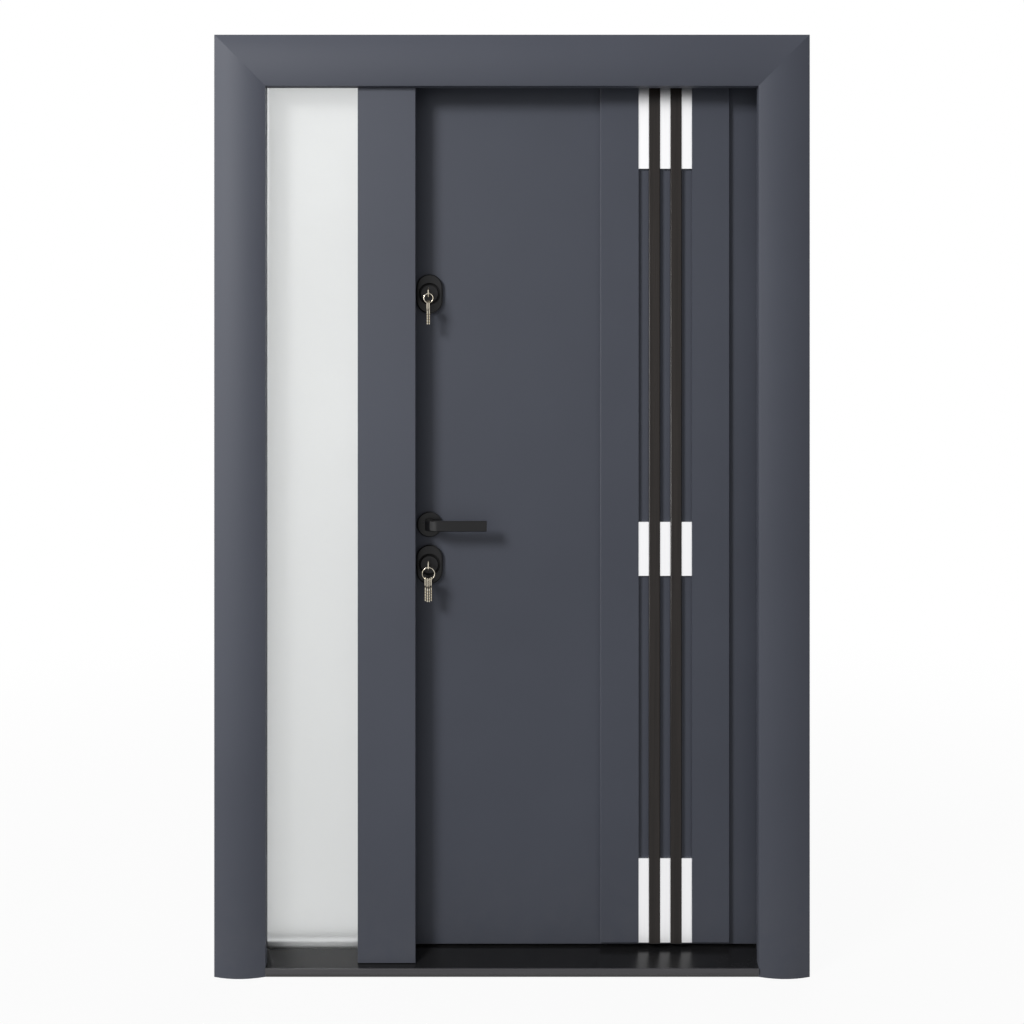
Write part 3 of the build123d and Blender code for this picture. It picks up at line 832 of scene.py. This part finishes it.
for lock in ("upper", "lower"):
    split_ring = add_piece(f"{lock}_split_ring", ring_builder(f"{lock}_key_ring"), f"{lock}_key", "key_nickel")
    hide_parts(f"{lock}_key_ring")

# %% [markdown]
# ### Shade rings in the plug grooves
# Round each lock plug runs a deep groove. A matt black ring is laid at its foot as painted shade: it stands
# for the shadow in the groove and is no part of the lock. Dark paint in the groove would do from the front,
# but a ring with its own lips also holds a shadow from the side. It is turned from a closed section, a loop
# of pairs, so the spin joins the last pair to the first and leaves a hole.

# %% Shade rings in the plug grooves
shade_ring_sides = 72
shade_ring_foot_drop = 0.00315  # from the plug's back to the ring's foot
shade_ring_hole = 0.0198


def groove_shade_rings(shape):
    """A matt black ring round each of the two lock plugs, painted shade for its groove."""
    for lock in ("upper", "lower"):
        low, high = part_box(f"{lock}_lock_plug")
        middle = (low + high) / 2
        flange = (high.x - low.x) / 2
        hub = Vector((middle.x, high.y - shade_ring_foot_drop, middle.z))
        loop = [
            (shade_ring_hole, 0.0),
            (shade_ring_hole, -0.0030),
            (shade_ring_hole + 0.0006, -0.0036),
            (shade_ring_hole + 0.0016, -0.0032),
            (flange - 0.0020, -0.0032),
            (flange - 0.0007, -0.0040),
            (flange + 0.0003, -0.0034),
            (flange + 0.0003, 0.0),
        ]
        spokes = []
        for side in range(shade_ring_sides):
            angle = 2 * math.pi * side / shade_ring_sides
            outward = Vector((math.cos(angle), 0, math.sin(angle)))
            spokes.append([shape.verts.new(hub + outward * r + Vector((0, rise, 0))) for r, rise in loop])
        skin_loop(shape, spokes)


# the rings are painted shade: matt black where the groove's shadow falls round each plug
add_piece("groove_shade_rings", groove_shade_rings, "leaf", "seal_rubber")

# %% [markdown]
# ### Glazing tape
# A bright foil tape beds the pane on its bead and folds back over the bead's lip. Through the satin glass it
# keeps the foot of the pane light; without it the dark bead would show as a band. It goes round as a mitred
# frame, so its section is swept through four corners and closed.

# %% Glazing tape
tape_overlap = 0.0004
tape_bed = 0.0006
tape_width = 0.0121
tape_edge = 0.0001
tape_fold = (0.0002, 0.0003)  # the fold's inner and outer face, either side of the tape's width
pane_setting = 0.004  # how far the tape starts outside the pane's edge


def glazing_tape(shape):
    """Tape all round the pane; its section is pairs of inset from the edge and depth behind the pane."""
    low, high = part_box("sidelight_bead")
    pane_low, pane_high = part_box("sidelight_glass")
    lip = high.y - pane_high.y
    inner, outer = tape_width - tape_fold[0], tape_width + tape_fold[1]
    section = [
        (tape_edge, -tape_overlap),
        (0.0030, -tape_overlap - 0.0001),
        (inner, -tape_overlap),
        (outer, tape_bed / 3),
        (outer, lip),
        (inner, lip),
        (inner, tape_bed),
        (tape_edge, tape_bed),
    ]
    stations = []
    for right, up in ((0, 0), (1, 0), (1, 1), (0, 1)):
        station = []
        for inset, depth in section:
            x = pane_high.x - inset + pane_setting if right else pane_low.x + inset - pane_setting
            z = pane_high.z - inset + pane_setting if up else low.z + inset
            station.append(shape.verts.new((x, pane_high.y + depth, z)))
        stations.append(station)
    skin_loop(shape, stations)


add_piece("glazing_tape", glazing_tape, "frame", "insert_steel")

# %% [markdown]
# ### Frame seal
# The rubber behind the stops is not a flat strip: it has a bulb for the leaf to press and a flat foot with a
# groove. A curve with a bevel object could sweep it, but exact mitres are easier one by one: the section runs
# up one side, across and down the other, which only takes four stations.

# %% Frame seal
seal_section = [
    (0.0000, 0.0000), (0.0000, 0.0009), (0.0006, 0.0017), (0.0016, 0.0025), (0.0030, 0.0029),
    (0.0045, 0.0026), (0.0056, 0.0017), (0.0062, 0.0010), (0.0070, 0.0010), (0.0078, 0.0015),
    (0.0090, 0.0015), (0.0100, 0.0007), (0.0100, 0.0000),
]


def bulb_seal(shape):
    """The bulb section up one jamb, across the head and down the other."""
    low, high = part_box("frame_seal")
    stations = []
    for right, up in ((0, 0), (0, 1), (1, 1), (1, 0)):
        station = []
        for inset, depth in seal_section:
            x = high.x - inset if right else low.x + inset
            z = high.z - inset if up else low.z
            station.append(shape.verts.new((x, low.y + depth, z)))
        stations.append(station)
    skin_rings(shape, stations)


rubber = add_piece("bulb_seal", bulb_seal, "frame", "seal_rubber")
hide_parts("frame_seal")

# %% [markdown]
# ### Foot seal
# Under the leaf a second strip has two lips that nearly reach the threshold and keep the draught out. It
# shows when the door is open or seen from low down. It is straight, so two stations make it, a little short
# of the leaf's edges.

# %% Foot seal of the leaf
foot_seal_depth = 0.036
foot_seal_end_gap = 0.006
foot_section = [
    (0.000, 0.0000), (0.000, -0.0014), (0.008, -0.0014), (0.010, -0.0038), (0.0114, -0.0038),
    (0.012, -0.0014), (0.024, -0.0014), (0.026, -0.0038), (0.0274, -0.0038), (0.028, -0.0014),
    (foot_seal_depth, -0.0014), (foot_seal_depth, 0.0000),
]


def foot_seal(shape):
    """The two-lipped strip along the leaf's foot."""
    low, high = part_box("leaf_case")
    front = (low.y + high.y) / 2 - foot_seal_depth / 2
    skin_rings(shape, [
        [shape.verts.new((x, front + depth, low.z + drop)) for depth, drop in foot_section]
        for x in (low.x + foot_seal_end_gap, high.x - foot_seal_end_gap)
    ])


add_piece("leaf_foot_seal", foot_seal, "leaf", "seal_rubber")
